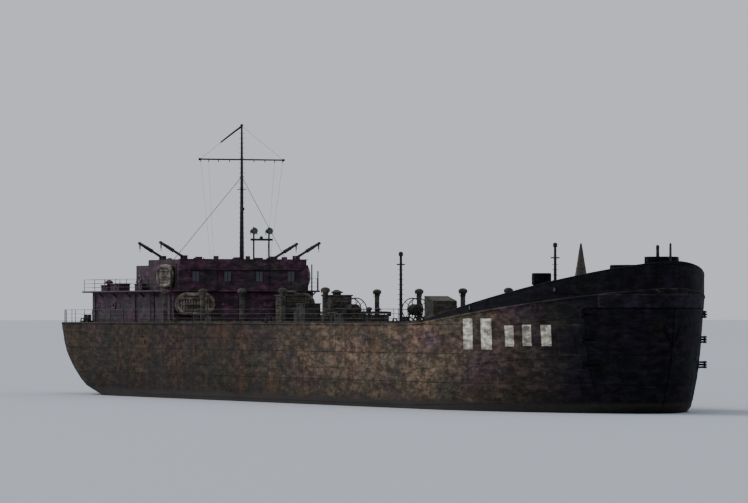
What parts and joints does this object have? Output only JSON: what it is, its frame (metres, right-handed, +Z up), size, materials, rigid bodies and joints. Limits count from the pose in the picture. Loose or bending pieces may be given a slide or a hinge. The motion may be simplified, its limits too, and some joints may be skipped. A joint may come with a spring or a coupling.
{
  "type": "tank landing ship, 1:10 scale model",
  "caption": "Flat-bottomed beaching ship with clamshell bow doors, a bow ramp, a hollow tank deck, cargo hatch, stern deckhouse, davits, mast, propellers and rudders.",
  "frame": {"origin": "middle of the flat bottom, half way between stem and stern", "axes": "+X towards the bow, +Y to port, +Z up"},
  "size_m": [10, 1.524, 2.28],
  "materials": {
    "hull_paint": "weathered dark brown-grey paint, rust streaks",
    "bow_paint": "near-black weathered paint",
    "deck_paint": "worn matt deck paint",
    "house_paint": "dark purple-brown weathered paint",
    "spar_paint": "matt black paint",
    "deck_gear": "dark rusty castings",
    "raft_paint": "pale faded raft rim",
    "canvas": "coarse dark canvas",
    "bronze": "dull bronze"
  },
  "bodies": {
    "ship": {"anchor_light_post": "spar_paint", "boat_deck": "deck_paint", "bow_bitts_port": "deck_gear", "bow_bitts_starboard": "deck_gear", "bow_lookout": "bow_paint", "bow_signal_post": "spar_paint", "bow_tub": "bow_paint", "bridge_shield": "house_paint", "bulwark": "bow_paint", "canvas_cover": "canvas", "capstan": "deck_gear", "davit_frame_aft_port": "deck_gear", "davit_frame_aft_starboard": "deck_gear", "davit_frame_fore_port": "deck_gear", "davit_frame_fore_starboard": "deck_gear", "deck_locker": "house_paint", "deck_vents_port": "deck_paint", "deck_vents_starboard": "deck_paint", "deckhouse": "house_paint", "forecastle_deck": "deck_paint", "hatch_coaming": "deck_paint", "hull_bottom": "hull_paint", "hull_bow": "hull_paint", "hull_stern": "hull_paint", "jackstaff": "spar_paint", "life_raft_fore_port": "raft_paint", "life_raft_fore_starboard": "raft_paint", "life_raft_side_port": "raft_paint", "life_raft_side_starboard": "raft_paint", "main_deck_aft": "deck_paint", "main_deck_fore": "deck_paint", "main_deck_middle": "deck_paint", "mast": "spar_paint", "midships_signal_post": "spar_paint", "signal_lamps": "spar_paint", "stern_anchor": "deck_gear", "stern_anchor_rack": "deck_gear", "stern_bitts_port": "deck_gear", "stern_bitts_starboard": "deck_gear", "stern_tub": "house_paint", "stern_winch_bed": "deck_gear", "wheelhouse": "house_paint", "wing_wall_port": "hull_paint", "wing_wall_starboard": "hull_paint"},
    "bow_door_port": {"bow_door_port": "bow_paint"},
    "bow_door_starboard": {"bow_door_starboard": "bow_paint"},
    "bow_ramp": {"bow_ramp": "deck_gear"},
    "hatch_cover_port": {"hatch_cover_port": "deck_paint"},
    "hatch_cover_starboard": {"hatch_cover_starboard": "deck_paint"},
    "deckhouse_door_port": {"deckhouse_door_port": "house_paint"},
    "deckhouse_door_starboard": {"deckhouse_door_starboard": "house_paint"},
    "davit_arm_fore_port": {"davit_arm_fore_port": "deck_gear"},
    "davit_arm_aft_port": {"davit_arm_aft_port": "deck_gear"},
    "davit_arm_fore_starboard": {"davit_arm_fore_starboard": "deck_gear"},
    "davit_arm_aft_starboard": {"davit_arm_aft_starboard": "deck_gear"},
    "stern_winch_drum": {"stern_winch_drum": "deck_gear"},
    "propeller_port": {"propeller_port": "bronze"},
    "propeller_starboard": {"propeller_starboard": "bronze"},
    "rudder_port": {"rudder_port": "hull_paint"},
    "rudder_starboard": {"rudder_starboard": "hull_paint"}
  },
  "joints": [
    {"name": "bow_door_port_swing", "type": "hinge", "parent": "ship", "child": "bow_door_port", "pos_m": [4.543, 0.428, 0.66], "axis": [0, 0, 1], "range_deg": [0, 100]},
    {"name": "bow_door_starboard_swing", "type": "hinge", "parent": "ship", "child": "bow_door_starboard", "pos_m": [4.543, -0.428, 0.66], "axis": [0, 0, -1], "range_deg": [0, 100]},
    {"name": "bow_ramp_tilt", "type": "hinge", "parent": "ship", "child": "bow_ramp", "pos_m": [4.456, 0, 0.352], "axis": [0, 1, 0], "range_deg": [0, 95]},
    {"name": "hatch_cover_port_open", "type": "hinge", "parent": "ship", "child": "hatch_cover_port", "pos_m": [-0.32, 0.2, 0.839], "axis": [-1, 0, 0], "range_deg": [0, 110]},
    {"name": "hatch_cover_starboard_open", "type": "hinge", "parent": "ship", "child": "hatch_cover_starboard", "pos_m": [-0.32, -0.2, 0.839], "axis": [1, 0, 0], "range_deg": [0, 110]},
    {"name": "deckhouse_door_port_open", "type": "hinge", "parent": "ship", "child": "deckhouse_door_port", "pos_m": [-2.882, 0.573, 0.877], "axis": [0, 0, -1], "range_deg": [0, 110]},
    {"name": "deckhouse_door_starboard_open", "type": "hinge", "parent": "ship", "child": "deckhouse_door_starboard", "pos_m": [-2.882, -0.573, 0.877], "axis": [0, 0, 1], "range_deg": [0, 110]},
    {"name": "davit_fore_port_swing", "type": "hinge", "parent": "ship", "child": "davit_arm_fore_port", "pos_m": [-2.535, 0.46, 1.262], "axis": [1, 0, 0], "range_deg": [-25, 70]},
    {"name": "davit_aft_port_swing", "type": "hinge", "parent": "ship", "child": "davit_arm_aft_port", "pos_m": [-3, 0.46, 1.262], "axis": [1, 0, 0], "range_deg": [-25, 70]},
    {"name": "davit_fore_starboard_swing", "type": "hinge", "parent": "ship", "child": "davit_arm_fore_starboard", "pos_m": [-2.535, -0.46, 1.262], "axis": [-1, 0, 0], "range_deg": [-25, 70]},
    {"name": "davit_aft_starboard_swing", "type": "hinge", "parent": "ship", "child": "davit_arm_aft_starboard", "pos_m": [-3, -0.46, 1.262], "axis": [-1, 0, 0], "range_deg": [-25, 70]},
    {"name": "stern_winch_turn", "type": "hinge", "parent": "ship", "child": "stern_winch_drum", "pos_m": [-4.64, 0, 0.83], "axis": [0, 1, 0], "continuous": true},
    {"name": "propeller_port_spin", "type": "hinge", "parent": "ship", "child": "propeller_port", "pos_m": [-4.15, 0.29, 0.135], "axis": [1, 0, 0], "continuous": true},
    {"name": "propeller_starboard_spin", "type": "hinge", "parent": "ship", "child": "propeller_starboard", "pos_m": [-4.15, -0.29, 0.135], "axis": [1, 0, 0], "continuous": true},
    {"name": "rudder_port_steer", "type": "hinge", "parent": "ship", "child": "rudder_port", "pos_m": [-4.45, 0.29, 0.2], "axis": [0, 0, 1], "range_deg": [-35, 35]},
    {"name": "rudder_starboard_steer", "type": "hinge", "parent": "ship", "child": "rudder_starboard", "pos_m": [-4.45, -0.29, 0.2], "axis": [0, 0, 1], "range_deg": [-35, 35]}
  ],
  "couplings": [
    {"joint": "bow_door_starboard_swing", "follows": "bow_door_port_swing", "ratio": 1},
    {"joint": "bow_ramp_tilt", "follows": "bow_door_port_swing", "ratio": 0.95},
    {"joint": "rudder_starboard_steer", "follows": "rudder_port_steer", "ratio": 1},
    {"joint": "davit_aft_port_swing", "follows": "davit_fore_port_swing", "ratio": 1},
    {"joint": "davit_aft_starboard_swing", "follows": "davit_fore_starboard_swing", "ratio": 1}
  ]
}
